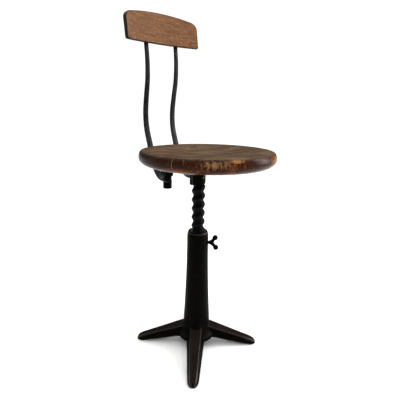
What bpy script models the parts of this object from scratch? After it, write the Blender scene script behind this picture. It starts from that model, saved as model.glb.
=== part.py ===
"""Machinist's swivel stool with a backrest.

A cast-iron pedestal holds a coarse round-thread spindle.  The seat bracket swivels on the spindle's
top pin, and two slotted flat bars, clamped under the seat, carry a bent plywood backrest.
The sitter faces -Y, +Z is up, units are metres, and the floor is z = 0.
"""
from math import atan, cos, pi, radians, sin

import bpy
import bmesh
from mathutils import Matrix, Vector

# ---------------------------------------------------------------- driving dimensions
SEAT_RADIUS = 0.178             # a 14 in seat
SEAT_TOP = 0.6106               # height of the seat's rim at rest
SEAT_THICK = 0.0376
SEAT_DISH = 0.006               # how far the middle is hollowed
SEAT_FORWARD = 0.0378           # the seat's middle stands this far in front of the spindle

COLUMN_TOP = 0.376
COLUMN_RADIUS = 0.0309          # just under the rounded shoulder
BORE_RADIUS = 0.0243            # column bore, which the bush and the tail guide fit
FOOT_UNDER = 0.034              # the column's foot stops this far above the floor
BASE_TURN = radians(-37.5)      # the first leg's direction, with the seat facing -Y

PITCH = 0.0254                  # one thread turn to the inch
THREAD_MEAN = 0.0169
THREAD_DEPTH = 0.0024           # half the height from root to crest
THREAD_CREST_Z = 0.4927         # height of a crest at THREAD_CREST_ANGLE
THREAD_CREST_ANGLE = radians(144.57)
THREAD_CLEAR = 0.0005
THREAD_LOW = 0.175
THREAD_HIGH = 0.5135
THREAD_SIDES = 24               # points round the thread, and rows of points in each turn
THREAD_ROWS = 8
STUB_LENGTH = 0.0140            # plain end under the thread, which the tail guide fits
STUB_RADIUS = 0.0090
PINTLE_RADIUS = 0.012           # the plain pin that the seat bracket turns on
PINTLE_TOP = 0.5582
GROOVE_LOW = 0.5320             # groove in the pin, which the set screw's point fits
GROOVE_HIGH = 0.5400
GROOVE_RADIUS = 0.0100

BUSH_LOW = 0.329
BUSH_TOP = 0.3745
LOCK_Z = 0.3390                 # height of the wing screw
LOCK_SHANK = 0.0040
LOCK_HOLE = 0.0043
PAD_LONG = 0.0030               # the brass pad between the wing screw and the thread
WING_BALL = 0.0074
WING_RISE = 0.0152              # each ball's height above or below the screw's axis

BAR_X = 0.0467                  # half the distance between the two back bars
BAR_SPLAY = 0.0082              # the bars spread this much per metre of height above the seat
BAR_WIDTH_LOW = 0.0185
BAR_WIDTH_TOP = 0.0118
BAR_THICK = 0.005
BAR_RUN_Z = 0.5095              # middle of the bar where it lies flat under the seat
CLAMP_D = 0.130                 # seat middle to clamp bolt
CLAMP_SHANK = 0.0040
CLAMP_HOLE = 0.0043
CLAMP_TOP = 0.5520              # upper end of the clamp bolt's shank
CLAMP_HEAD = 0.0128
CLAMP_HEAD_LOW = 0.4880
WASHER_THICK = 0.0028
WASHER_RADIUS = 0.0125
BAR_END_D = 0.1195              # front end of each bar, behind the seat's middle
SLOT_FRONT = 0.1262             # middles of the slot's round ends
SLOT_REAR = 0.1415
SLOT_HALF = 0.0043

BOARD_LOW = 0.8938              # lower edge of the backrest
BOARD_HIGH = 0.9792             # top of its crown
BOARD_HALF = 0.1179             # half its length, along the curve
BOARD_BEND = 0.4926             # radius of the curve, hollow towards the sitter
BOARD_CROWN = 0.0148            # how much lower the top's ends are than its middle
BOARD_THICK = 0.012
BOARD_FACE_D = 0.2281           # seat middle to the front of the lower edge
BOARD_LEAN = 0.175              # backwards per unit of height
CORNER_TOP = 0.018              # radii of the board's corners
CORNER_LOW = 0.006

LUG_LOW = 0.5248                # underside of the bracket's square lugs
LUG_IN = 0.0130                 # the lug's size from the bolt: inwards, outwards, to front and back
LUG_OUT = 0.0125
LUG_FRONT = 0.0115
LUG_BACK = 0.0190
FLANGE_THICK = 0.0065
ARM_HALF = 0.0100
ARM_DROP = 0.0030               # how far the arms to the lugs hang below the flange
SEAT_SCREW_HOLE = 0.0027
SET_SCREW_Z = 0.536

GAP = 0.0003                    # between pieces that touch
REAR_MOST = 0.2250              # the bars' furthest point behind the spindle
COLUMN_Y = (SEAT_RADIUS + SEAT_FORWARD - REAR_MOST) / 2     # puts the origin under the middle

SEAT_UNDER = SEAT_TOP - SEAT_THICK
SEAT_Y = -SEAT_FORWARD

# ---------------------------------------------------------------- scene and helpers
for old in list(bpy.data.objects):
    bpy.data.objects.remove(old, do_unlink=True)

STOOL = bpy.data.objects.new("stool", None)
STOOL.location = (0, COLUMN_Y, 0)
bpy.context.collection.objects.link(STOOL)


def material(name, colour, roughness, metallic):
    """A Principled material with one colour."""
    mat = bpy.data.materials.new(name)
    mat.use_nodes = True
    shader = mat.node_tree.nodes["Principled BSDF"]
    shader.inputs["Base Color"].default_value = (*colour, 1)
    shader.inputs["Roughness"].default_value = roughness
    shader.inputs["Metallic"].default_value = metallic
    return mat


IRON = material("black_cast_iron", (0.030, 0.026, 0.024), 0.45, 0.6)
BABBITT = material("bush_metal", (0.30, 0.28, 0.25), 0.45, 1.0)
STEEL = material("dark_steel", (0.075, 0.075, 0.080), 0.38, 0.9)
SCREW_STEEL = material("screw_steel", (0.10, 0.09, 0.085), 0.5, 0.9)
BRASS = material("brass", (0.45, 0.32, 0.12), 0.4, 1.0)
SEAT_WOOD = material("seat_wood", (0.13, 0.055, 0.022), 0.35, 0.0)
PLY_WOOD = material("plywood", (0.22, 0.10, 0.055), 0.45, 0.0)


def empty(name, x, y, z):
    """An empty on a joint's axis, in the stool's frame."""
    pivot = bpy.data.objects.new(name, None)
    pivot.location = (x, y, z)
    pivot.parent = STOOL
    bpy.context.collection.objects.link(pivot)
    return pivot


def finish(name, bm, mat, pivot=None, sharp=32):
    """Turn a bmesh, drawn in the stool's frame, into an object whose origin is its pivot's."""
    bmesh.ops.remove_doubles(bm, verts=bm.verts, dist=1e-6)
    bmesh.ops.recalc_face_normals(bm, faces=bm.faces)
    mesh = bpy.data.meshes.new(name)
    if pivot is not None:
        bmesh.ops.translate(bm, verts=bm.verts, vec=-Vector(pivot.location))
    bm.to_mesh(mesh)
    bm.free()
    mesh.materials.append(mat)
    mesh.shade_smooth()
    mesh.set_sharp_from_angle(angle=radians(sharp))
    obj = bpy.data.objects.new(name, mesh)
    obj.parent = pivot if pivot is not None else STOOL
    bpy.context.collection.objects.link(obj)
    return obj


def loft(rings, wrap=False):
    """Join rings of equal length; the ends are capped, or joined to each other when wrap is set."""
    bm = bmesh.new()
    rows = [[bm.verts.new(p) for p in ring] for ring in rings]
    count = len(rows[0])
    pairs = list(zip(rows, rows[1:]))
    if wrap:
        pairs.append((rows[-1], rows[0]))
    for low, high in pairs:
        for i in range(count):
            j = (i + 1) % count
            bm.faces.new((low[i], low[j], high[j], high[i]))
    if not wrap:
        bm.faces.new(rows[0])
        bm.faces.new(rows[-1])
    return bm


def circle(radius, z, count, x=0.0, y=0.0):
    """A ring of points about a vertical axis."""
    return [(x + radius * cos(2 * pi * i / count), y + radius * sin(2 * pi * i / count), z)
            for i in range(count)]


def turned(profile, count, x=0.0, y=0.0, wrap=False):
    """A turned solid from (radius, z) pairs; wrap closes the profile into a ring with a bore."""
    return loft([circle(r, z, count, x, y) for r, z in profile], wrap)


def arc(cx, cz, rx, rz, start, end, steps):
    """Points on an ellipse's arc in the (radius, z) plane; the angles are in degrees."""
    angles = [radians(start + (end - start) * i / steps) for i in range(steps + 1)]
    return [(cx + rx * cos(a), cz + rz * sin(a)) for a in angles]


def prism(outline, low, high):
    """A plan outline extruded from one height to another."""
    return loft([[(x, y, z) for x, y in outline] for z in (low, high)])


def capsule(x0, y0, x1, y1, half, steps=6):
    """A plan outline: a strip with round ends from one point to another."""
    way = Vector((x1 - x0, y1 - y0)).normalized()
    side = Vector((-way.y, way.x))
    points = []
    for cx, cy, turn in ((x1, y1, 1), (x0, y0, -1)):
        for i in range(steps + 1):
            a = pi * i / steps
            offset = side * (-turn * half * cos(a)) + way * (turn * half * sin(a))
            points.append((cx + offset.x, cy + offset.y))
    return points


def helper(name, bm):
    """A cutter or a guide: it shapes another object and isn't part of the stool."""
    obj = finish(name, bm, IRON)
    obj.hide_render = True
    obj.display_type = "WIRE"
    return obj


def boolean(obj, other, operation):
    """Add a Boolean modifier to an object."""
    mod = obj.modifiers.new(other.name, "BOOLEAN")
    mod.operation = operation
    mod.solver = "EXACT"
    mod.object = other


def turned_along(profile, count, start, direction):
    """A turned solid whose profile of (radius, distance) pairs runs along any direction."""
    bm = turned(profile, count)
    spin = Vector((0, 0, 1)).rotation_difference(Vector(direction)).to_matrix().to_4x4()
    bmesh.ops.transform(bm, matrix=Matrix.Translation(Vector(start)) @ spin, verts=bm.verts)
    return bm


# ---------------------------------------------------------------- pedestal
LEG_SECTIONS = (    # distance out, top z, under z, half width on top, half width below
    (0.026, 0.0735, 0.0300, 0.0172, 0.0295),
    (0.060, 0.0607, 0.0253, 0.0160, 0.0264),
    (0.110, 0.0420, 0.0136, 0.0128, 0.0221),
    (0.150, 0.0270, 0.0045, 0.0108, 0.0186),
    (0.172, 0.0187, 0.0000, 0.0098, 0.0164),
    (0.183, 0.0130, 0.0000, 0.0080, 0.0130),
    (0.188, 0.0070, 0.0010, 0.0045, 0.0072),
)


def leg_ring(out, top, under, half_top, half_low, angle):
    """One section of a leg: a flat top, sides that widen downwards and a well-chamfered underside."""
    edge = 0.22 * half_top
    cut = 0.33 * half_low
    section = ((half_top - edge, top), (half_top, top - edge), (half_low, under + cut),
               (half_low - cut, under), (-half_low + cut, under), (-half_low, under + cut),
               (-half_top, top - edge), (-half_top + edge, top))
    return [(out * cos(angle) - w * sin(angle), out * sin(angle) + w * cos(angle), z)
            for w, z in section]


def make_base():
    """The one-piece casting: tapered column, flared foot and four splayed legs."""
    outside = [(0.0268, COLUMN_TOP), (0.0292, COLUMN_TOP - 0.0032), (0.0306, COLUMN_TOP - 0.009),
               (COLUMN_RADIUS, 0.352), (0.0319, 0.294), (0.0330, 0.235), (0.0345, 0.194),
               (0.0363, 0.1525), (0.0384, 0.110), (0.0400, 0.086), (0.0436, 0.068),
               (0.0510, 0.053), (0.0580, 0.044), (0.0585, 0.037), (0.0570, FOOT_UNDER)]
    core = BORE_RADIUS / 2
    profile = [(core, COLUMN_TOP)] + outside + [(core, FOOT_UNDER)]
    base = finish("base_casting", turned(profile, 40), IRON)
    for number in range(4):
        angle = BASE_TURN + number * pi / 2
        rings = [leg_ring(*section, angle) for section in LEG_SECTIONS]
        boolean(base, helper(f"leg_guide_{number + 1}", loft(rings)), "UNION")
    bore = turned([(BORE_RADIUS, -0.01), (BORE_RADIUS, COLUMN_TOP + 0.01)], 32)
    boolean(base, helper("bore_cutter", bore), "DIFFERENCE")
    hole = turned_along([(LOCK_HOLE, 0.0), (LOCK_HOLE, 0.03)], 16, lock_point(0.015), lock_way())
    boolean(base, helper("lock_hole_cutter", hole), "DIFFERENCE")
    return base


def lock_way():
    """The wing screw's outward direction, straight above the first leg."""
    return (cos(BASE_TURN), sin(BASE_TURN), 0)


def lock_point(out):
    """A point on the wing screw's axis, this far from the column's axis."""
    return (out * cos(BASE_TURN), out * sin(BASE_TURN), LOCK_Z)


def thread_radius(angle, z, extra):
    """Round thread: a cosine wave that climbs one pitch per turn, right-handed."""
    phase = (z - THREAD_CREST_Z) / PITCH - (angle - THREAD_CREST_ANGLE) / (2 * pi)
    return THREAD_MEAN + extra + THREAD_DEPTH * cos(2 * pi * phase)


def thread_rows(low, high, extra=0.0):
    """Rings of points over a stretch of thread, from low to high."""
    steps = round((high - low) / PITCH * THREAD_ROWS)
    rows = []
    for k in range(steps + 1):
        z = low + (high - low) * k / steps
        ring = []
        for i in range(THREAD_SIDES):
            angle = 2 * pi * i / THREAD_SIDES
            r = thread_radius(angle, z, extra)
            ring.append((r * cos(angle), r * sin(angle), z))
        rows.append(ring)
    return rows


def make_bush():
    """The threaded bush in the column's top, cast round the spindle's thread."""
    outer = BORE_RADIUS - GAP
    rings = thread_rows(BUSH_LOW, BUSH_TOP, THREAD_CLEAR)
    rings += [circle(outer, BUSH_TOP, THREAD_SIDES), circle(outer, BUSH_LOW, THREAD_SIDES)]
    bush = finish("thread_bush", loft(rings, wrap=True), BABBITT)
    hole = turned_along([(LOCK_HOLE, 0.0), (LOCK_HOLE, 0.02)], 16, lock_point(0.010), lock_way())
    boolean(bush, helper("bush_hole_cutter", hole), "DIFFERENCE")
    return bush


def make_lock():
    """The wing screw and the brass pad that it presses on the thread."""
    crest = THREAD_MEAN + THREAD_DEPTH + 0.0004
    pivot = empty("lock_axis", *lock_point(0.0))
    pad = turned_along([(0.0034, 0.0), (0.0038, 0.0004), (0.0038, PAD_LONG)], 12,
                       lock_point(crest), lock_way())
    finish("lock_pad", pad, BRASS, pivot)
    start = crest + PAD_LONG + GAP
    body = [(0.0036, 0.0), (LOCK_SHANK, 0.0006), (LOCK_SHANK, 0.0092), (0.0054, 0.0096),
            (0.0060, 0.0130), (0.0076, 0.0180), (0.0070, 0.0215), (0.0030, 0.0240)]
    screw = finish("wing_screw", turned_along(body, 16, lock_point(start), lock_way()), IRON, pivot)
    for sign, reach in ((1, 0.0278), (-1, 0.0302)):
        root = Vector(lock_point(start + 0.0165))
        tip = Vector(lock_point(start + reach)) + Vector((0, 0, WING_RISE * sign))
        way = tip - root
        arm = [(0.0054, 0.0), (0.0048, way.length * 0.5), (0.0042, way.length)]
        boolean(screw, helper(f"wing_arm_{sign + 2}", turned_along(arm, 10, root, way)), "UNION")
        ball = arc(0, 0, WING_BALL, WING_BALL, -80, 80, 6)
        boolean(screw, helper(f"wing_ball_{sign + 2}", turned_along(ball, 12, tip, way)), "UNION")


# ---------------------------------------------------------------- spindle
def make_spindle():
    """The round-thread spindle, its tail guide, washer and bolt."""
    pivot = empty("spindle_axis", 0, 0, 0)
    stub = THREAD_LOW - STUB_LENGTH
    bolt_hole = 0.0043
    rings = [circle(r, z, THREAD_SIDES) for r, z in (
        (bolt_hole, THREAD_LOW + 0.004), (bolt_hole, stub), (STUB_RADIUS, stub),
        (STUB_RADIUS, THREAD_LOW))]
    rings += thread_rows(THREAD_LOW, THREAD_HIGH)
    rings += [circle(r, z, THREAD_SIDES) for r, z in (
        (PINTLE_RADIUS, THREAD_HIGH), (PINTLE_RADIUS, GROOVE_LOW - 0.001),
        (GROOVE_RADIUS, GROOVE_LOW), (GROOVE_RADIUS, GROOVE_HIGH),
        (PINTLE_RADIUS, GROOVE_HIGH + 0.001), (PINTLE_RADIUS, PINTLE_TOP - 0.001),
        (0.0110, PINTLE_TOP))]
    finish("spindle", loft(rings), STEEL, pivot)
    inner = STUB_RADIUS + GAP
    outer = BORE_RADIUS - 0.0007
    guide = [(inner, THREAD_LOW - GAP), (0.0205, THREAD_LOW - GAP), (outer, THREAD_LOW - 0.003),
             (outer, stub + 0.003), (0.0220, stub + GAP), (inner, stub + GAP)]
    finish("tail_guide", turned(guide, 28, wrap=True), IRON, pivot)
    washer = [(0.0044, stub - GAP), (0.0150, stub - GAP), (0.0150, stub - 0.0033),
              (0.0044, stub - 0.0033)]
    finish("tail_washer", turned(washer, 20, wrap=True), SCREW_STEEL, pivot)
    bolt = [(0.0040, THREAD_LOW + 0.002), (0.0040, stub - 0.0036)]
    bolt += [(0.0075, stub - 0.0036), (0.0075, stub - 0.0095), (0.0060, stub - 0.0105)]
    finish("tail_bolt", turned(bolt, 6), SCREW_STEEL, pivot)


# ---------------------------------------------------------------- seat
SEAT_SCREWS = [(0.066 * cos(a), 0.066 * sin(a)) for a in (radians(45 + 90 * k) for k in range(4))]


def make_seat_board():
    """The turned, dished wooden seat with a bullnose rim."""
    rim = SEAT_RADIUS - 0.0088
    profile = [(0.020, SEAT_TOP - SEAT_DISH), (0.070, SEAT_TOP - SEAT_DISH * 0.9),
               (0.110, SEAT_TOP - SEAT_DISH * 0.55), (0.140, SEAT_TOP - SEAT_DISH * 0.2),
               (0.158, SEAT_TOP - 0.0002)]
    profile += arc(rim, SEAT_TOP - 0.0165, 0.0088, 0.0165, 90, 0, 5)
    profile += arc(SEAT_RADIUS - 0.0316, SEAT_TOP - 0.0165, 0.0316, SEAT_THICK - 0.0165, -15, -90, 6)
    profile += [(0.060, SEAT_UNDER)]
    board = finish("seat_board", turned(profile, 56, 0, SEAT_Y), SEAT_WOOD)
    for number, (x, y) in enumerate(SEAT_SCREWS):
        ends = [(SEAT_SCREW_HOLE, SEAT_UNDER - 0.01), (SEAT_SCREW_HOLE, SEAT_UNDER + 0.018)]
        hole = turned(ends, 10, x, y)
        boolean(board, helper(f"seat_hole_{number + 1}", hole), "DIFFERENCE")


def make_seat_bracket():
    """The cast bracket: hub, flange arms under the seat and two rear lugs for the back bars."""
    flange_high = SEAT_UNDER - GAP
    flange_low = flange_high - FLANGE_THICK
    core = PINTLE_RADIUS / 2
    hub = [(core, 0.5145), (0.0185, 0.5145), (0.0190, 0.5155), (0.0200, 0.5550), (0.0225, flange_low),
           (0.0225, flange_high), (core, flange_high)]
    bracket = finish("seat_bracket", turned(hub, 32), IRON)
    arms = [("flange_guide_a", SEAT_SCREWS[0], SEAT_SCREWS[2]),
            ("flange_guide_b", SEAT_SCREWS[1], SEAT_SCREWS[3])]
    for name, (x0, y0), (x1, y1) in arms:
        outline = capsule(x0, y0, x1, y1, 0.0115)
        boolean(bracket, helper(name, prism(outline, flange_low, flange_high - 0.0001)), "UNION")
    lug_y = SEAT_Y + CLAMP_D
    boss_low = BAR_RUN_Z + BAR_THICK / 2 + GAP
    for side in (-1, 1):
        lug_x = side * BAR_X
        outline = capsule(side * 0.004, 0.004, lug_x, lug_y, ARM_HALF)
        arm = prism(outline, flange_low - ARM_DROP, flange_high - 0.0002)
        boolean(bracket, helper(f"arm_guide_{side + 2}", arm), "UNION")
        inner = lug_x - side * LUG_IN
        outer = lug_x + side * LUG_OUT
        box = [(inner, lug_y - LUG_FRONT), (outer, lug_y - LUG_FRONT), (outer, lug_y + LUG_BACK),
               (inner, lug_y + LUG_BACK)]
        lug = prism(box, LUG_LOW, flange_high - 0.0003)
        boolean(bracket, helper(f"lug_guide_{side + 2}", lug), "UNION")
        boss = turned([(0.0121, boss_low), (0.0125, boss_low + 0.0004), (0.0125, LUG_LOW + 0.002)],
                      24, lug_x, lug_y)
        boolean(bracket, helper(f"boss_guide_{side + 2}", boss), "UNION")
        hole = turned([(CLAMP_HOLE, 0.50), (CLAMP_HOLE, CLAMP_TOP + 0.002)], 14, lug_x, lug_y)
        boolean(bracket, helper(f"clamp_hole_{side + 2}", hole), "DIFFERENCE")
    bore_radius = PINTLE_RADIUS + GAP
    bore = turned([(bore_radius, 0.50), (bore_radius, PINTLE_TOP + GAP)], 28)
    boolean(bracket, helper("hub_bore_cutter", bore), "DIFFERENCE")
    side_hole = turned_along([(0.0036, 0.0), (0.0036, 0.03)], 12, (0, -0.006, SET_SCREW_Z), (0, -1, 0))
    boolean(bracket, helper("set_screw_cutter", side_hole), "DIFFERENCE")
    for number, (x, y) in enumerate(SEAT_SCREWS):
        ends = [(SEAT_SCREW_HOLE, flange_low - 0.01), (SEAT_SCREW_HOLE, SEAT_UNDER + 0.01)]
        boolean(bracket, helper(f"flange_hole_{number + 1}", turned(ends, 10, x, y)), "DIFFERENCE")
        head = flange_low - GAP
        screw = [(0.0012, SEAT_UNDER + 0.0172), (0.0024, SEAT_UNDER + 0.0150), (0.0024, head),
                 (0.0048, head), (0.0044, head - 0.0016), (0.0026, head - 0.0028)]
        finish(f"seat_screw_{number + 1}", turned(screw, 10, x, y), SCREW_STEEL)
    grip = [(0.0024, 0.0), (0.0033, 0.0010), (0.0033, 0.0098), (0.0055, 0.0100), (0.0055, 0.0155),
            (0.0045, 0.0165)]
    set_screw = turned_along(grip, 8, (0, -0.0103, SET_SCREW_Z), (0, -1, 0))
    finish("hub_set_screw", set_screw, SCREW_STEEL)


def make_clamp(name, side):
    """One bar clamp: a washer and a round-headed bolt that screws up into the bracket's lug."""
    x = side * BAR_X
    y = SEAT_Y + CLAMP_D
    pivot = empty(f"{name}_clamp_axis", x, y, 0)
    under = BAR_RUN_Z - BAR_THICK / 2 - GAP
    low = under - WASHER_THICK
    washer = [(CLAMP_HOLE, under), (WASHER_RADIUS, under), (WASHER_RADIUS, low), (CLAMP_HOLE, low)]
    finish(f"clamp_washer_{name}", turned(washer, 20, x, y, wrap=True), SCREW_STEEL, pivot)
    head = low - GAP
    edge = 0.0007
    bolt = [(CLAMP_SHANK - 0.0004, CLAMP_TOP), (CLAMP_SHANK, CLAMP_TOP - 0.0008), (CLAMP_SHANK, head),
            (CLAMP_HEAD - edge, head), (CLAMP_HEAD, head - edge),
            (CLAMP_HEAD, CLAMP_HEAD_LOW + 0.0030), (CLAMP_HEAD - 0.0012, CLAMP_HEAD_LOW + 0.0008),
            (CLAMP_HEAD - 0.0034, CLAMP_HEAD_LOW)]
    finish(f"clamp_bolt_{name}", turned(bolt, 20, x, y), IRON, pivot)


# ---------------------------------------------------------------- backrest
BAR_PATH = (    # (behind the seat's middle, height) along the middle of a bar
    (BAR_END_D, BAR_RUN_Z), (0.136, BAR_RUN_Z), (0.1545, BAR_RUN_Z + 0.0002), (0.171, 0.5135),
    (0.187, 0.5235), (0.2055, 0.5430), (0.2215, 0.5740), (0.2385, 0.6106), (0.2560, 0.6573),
    (0.2590, 0.7039), (0.2503, 0.7506), (0.2392, 0.7973), (0.2365, 0.8439), (0.2407, 0.8906),
    (0.2484, 0.9350), (0.2549, 0.9720))
BAR_TAPER_LOW = 0.58            # the bars narrow between these heights
BAR_TAPER_HIGH = 0.87
BACK_SCREWS = (0.022, 0.058)    # heights of the screws above the backrest's lower edge
LEAN = atan(BOARD_LEAN)


def smooth_path(points, steps):
    """A Catmull-Rom curve through the points, with the same number of steps in each stretch."""
    ends = [points[0]] + list(points) + [points[-1]]
    path = []
    for a, b, c, d in zip(ends, ends[1:], ends[2:], ends[3:]):
        for k in range(steps):
            t = k / steps
            path.append(tuple(0.5 * (2 * q + (r - p) * t + (2 * p - 5 * q + 4 * r - s) * t * t
                                     + (3 * q - p - 3 * r + s) * t ** 3)
                              for p, q, r, s in zip(a, b, c, d)))
    path.append(points[-1])
    return path


def bar_width(z):
    """The bars taper from seat height to the backrest."""
    share = min(1, max(0, (z - BAR_TAPER_LOW) / (BAR_TAPER_HIGH - BAR_TAPER_LOW)))
    return BAR_WIDTH_LOW + (BAR_WIDTH_TOP - BAR_WIDTH_LOW) * share


def bar_x(side, z):
    """The bars spread a little above the seat."""
    return side * (BAR_X + BAR_SPLAY * max(0, z - SEAT_TOP))


def make_bar(name, side):
    """One bar: a flat strip bent in a flat S, with a slot in its lower, level run."""
    path = smooth_path(BAR_PATH, 3)
    rings = []
    for k, (d, z) in enumerate(path):
        before = Vector(path[max(0, k - 1)])
        after = Vector(path[min(len(path) - 1, k + 1)])
        way = (after - before).normalized()
        normal = Vector((-way.y, way.x))
        x = bar_x(side, z)
        half = bar_width(z) / 2
        edge = 0.0006
        ring = []
        for w, h in ((-half, edge - BAR_THICK / 2), (-half + edge, -BAR_THICK / 2),
                     (half - edge, -BAR_THICK / 2), (half, edge - BAR_THICK / 2),
                     (half, BAR_THICK / 2 - edge), (half - edge, BAR_THICK / 2),
                     (-half + edge, BAR_THICK / 2), (-half, BAR_THICK / 2 - edge)):
            ring.append((x + w, SEAT_Y + d + normal.x * h, z + normal.y * h))
        rings.append(ring)
    bar = finish(f"bar_{name}", loft(rings), STEEL)
    outline = capsule(side * BAR_X, SEAT_Y + SLOT_FRONT, side * BAR_X, SEAT_Y + SLOT_REAR, SLOT_HALF)
    boolean(bar, helper(f"slot_cutter_{name}", prism(outline, 0.49, 0.53)), "DIFFERENCE")
    for number, height in enumerate(BACK_SCREWS):
        hole = turned_along([(0.0024, -0.02), (0.0024, 0.02)], 10, *back_screw_line(side, height))
        boolean(bar, helper(f"bar_hole_{name}_{number + 1}", hole), "DIFFERENCE")
    return bar


def back_screw_line(side, height):
    """Where a backrest screw meets the board's back, and the way that it drives in."""
    x = bar_x(side, BOARD_LOW + height)
    sag = BOARD_BEND * (1 - cos(x / BOARD_BEND))
    y = SEAT_Y + BOARD_FACE_D + BOARD_THICK - sag + BOARD_LEAN * height
    return (x, y, BOARD_LOW + height), (0, -cos(LEAN), sin(LEAN))


def board_outline(steps):
    """The backrest's outline as (along, up) pairs: round corners under a crowned top."""
    height = BOARD_HIGH - BOARD_LOW
    points = []
    for cx, cy, radius, start in ((1, 1, CORNER_TOP, 0), (-1, 1, CORNER_TOP, 90),
                                  (-1, 0, CORNER_LOW, 180), (1, 0, CORNER_LOW, 270)):
        for i in range(steps + 1):
            a = radians(start + 90 * i / steps)
            u = cx * (BOARD_HALF - radius) + radius * cos(a)
            v = (height - radius if cy else radius) + radius * sin(a)
            points.append((u, v))
        u0, v0 = points[-1]
        if start in (0, 180):
            u1 = -BOARD_HALF + CORNER_TOP if start == 0 else BOARD_HALF - CORNER_LOW
            points += [(u0 + (u1 - u0) * k / 12, v0) for k in range(1, 12)]
        else:
            v1 = CORNER_LOW if start == 90 else height - CORNER_TOP
            points += [(u0, v0 + (v1 - v0) * k / 4) for k in range(1, 4)]
    return [(u, v * (1 - BOARD_CROWN / height * (u / BOARD_HALF) ** 2)) for u, v in points]


def make_backrest():
    """The bent plywood backrest and the four screws that hold it to the bars."""
    height = BOARD_HIGH - BOARD_LOW
    outline = board_outline(4)

    def ring(scale, inset, depth):
        """The outline, drawn in towards the middle and bent to the board's curve."""
        out = []
        for u, v in outline:
            up = height / 2 + (v - height / 2) * (scale - inset / (height / 2))
            along = u * (scale - inset / BOARD_HALF)
            angle = along / BOARD_BEND
            x = (BOARD_BEND + depth) * sin(angle)
            sag = BOARD_BEND * (1 - cos(angle))
            out.append((x, SEAT_Y + BOARD_FACE_D - sag + BOARD_LEAN * up + depth, BOARD_LOW + up))
        return out

    rings = [ring(0.05, 0, 0), ring(0.55, 0, 0), ring(1, 0.0016, 0), ring(1, 0, 0.0016),
             ring(1, 0, BOARD_THICK - 0.0016), ring(1, 0.0016, BOARD_THICK),
             ring(0.55, 0, BOARD_THICK), ring(0.05, 0, BOARD_THICK)]
    board = finish("backrest_board", loft(rings), PLY_WOOD)
    number = 0
    for side in (-1, 1):
        for height_up in BACK_SCREWS:
            number += 1
            point, way = back_screw_line(side, height_up)
            hole = turned_along([(0.0024, -0.01), (0.0024, 0.0085)], 10, point, way)
            boolean(board, helper(f"board_hole_{number}", hole), "DIFFERENCE")
            back = -0.0064
            screw = [(0.0020, back - 0.0026), (0.0040, back - 0.0014), (0.0044, back),
                     (0.0021, back), (0.0021, 0.0060), (0.0010, 0.0080)]
            finish(f"back_screw_{number}", turned_along(screw, 10, point, way), SCREW_STEEL)


make_base()
make_bush()
make_lock()
make_spindle()
make_seat_board()
make_seat_bracket()
for clamp_name, clamp_side in (("right", -1), ("left", 1)):
    make_clamp(clamp_name, clamp_side)
    make_bar(clamp_name, clamp_side)
make_backrest()
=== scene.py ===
import math

import bmesh
import bpy
import numpy as np
from mathutils import Matrix, Vector


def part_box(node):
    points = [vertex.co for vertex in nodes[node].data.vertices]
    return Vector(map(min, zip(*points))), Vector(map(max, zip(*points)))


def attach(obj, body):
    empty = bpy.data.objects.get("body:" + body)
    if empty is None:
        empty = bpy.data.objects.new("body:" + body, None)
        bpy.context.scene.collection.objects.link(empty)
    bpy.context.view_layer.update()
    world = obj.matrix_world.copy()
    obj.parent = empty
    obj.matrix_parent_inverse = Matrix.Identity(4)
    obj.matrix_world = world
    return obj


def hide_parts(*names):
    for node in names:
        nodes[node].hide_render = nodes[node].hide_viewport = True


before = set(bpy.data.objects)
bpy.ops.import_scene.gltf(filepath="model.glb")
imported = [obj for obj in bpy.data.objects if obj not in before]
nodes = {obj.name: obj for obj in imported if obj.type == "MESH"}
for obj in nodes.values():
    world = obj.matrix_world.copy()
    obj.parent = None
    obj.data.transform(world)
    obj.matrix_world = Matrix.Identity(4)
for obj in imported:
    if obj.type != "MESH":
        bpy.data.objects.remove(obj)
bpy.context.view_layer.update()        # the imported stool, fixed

# ------------------------------------------------------------------ the view
# The eye stands to the sitter's front right, a little above the seat, and leans its head one degree.
# Distances are from the column's axis.
axis_x = 0.0
axis_y = (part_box("tail_guide")[0].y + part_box("tail_guide")[1].y) / 2
eye_distance = 0.8607
eye_height = 0.7052
eye_turn = math.radians(-35.43)
look_aside = math.radians(-0.309)
look_down = math.radians(15.491)
head_tilt = math.radians(1.047)

camera_data = bpy.data.cameras.new("view")
camera_data.sensor_width = 36
camera_data.lens = 28.48
camera = bpy.data.objects.new("view", camera_data)
bpy.context.collection.objects.link(camera)
heading = eye_turn + math.pi / 2 + look_aside
level = Vector((math.cos(heading), math.sin(heading), 0))
aside = Vector((level.y, -level.x, 0))
forward = level * math.cos(look_down) - Vector((0, 0, math.sin(look_down)))
upward = level * math.sin(look_down) + Vector((0, 0, math.cos(look_down)))
cam_x = aside * math.cos(head_tilt) + upward * math.sin(head_tilt)
cam_y = upward * math.cos(head_tilt) - aside * math.sin(head_tilt)
eye = Vector((axis_x + eye_distance * math.sin(eye_turn),
              axis_y - eye_distance * math.cos(eye_turn), eye_height))
turn = Matrix((cam_x, cam_y, -forward)).transposed().to_4x4()
camera.matrix_world = Matrix.Translation(eye) @ turn
bpy.context.scene.camera = camera
bpy.context.scene.view_settings.view_transform = "Standard"

# ------------------------------------------------------------------ the pedestal
# One iron casting: a tapered column with a flared foot and four splayed legs, each with a sunk panel
# on top.  It was sand cast, so edges are soft, and painted black; the paint has worn brown.


def add(tree, kind, inputs=None, **settings):
    """Add a node: settings are its properties, inputs are values or other nodes' sockets."""
    made = tree.nodes.new(kind)
    for key, value in settings.items():
        setattr(made, key, value)
    for key, value in (inputs or {}).items():
        if isinstance(value, bpy.types.NodeSocket):
            tree.links.new(value, made.inputs[key])
        else:
            made.inputs[key].default_value = value
    return made


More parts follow.
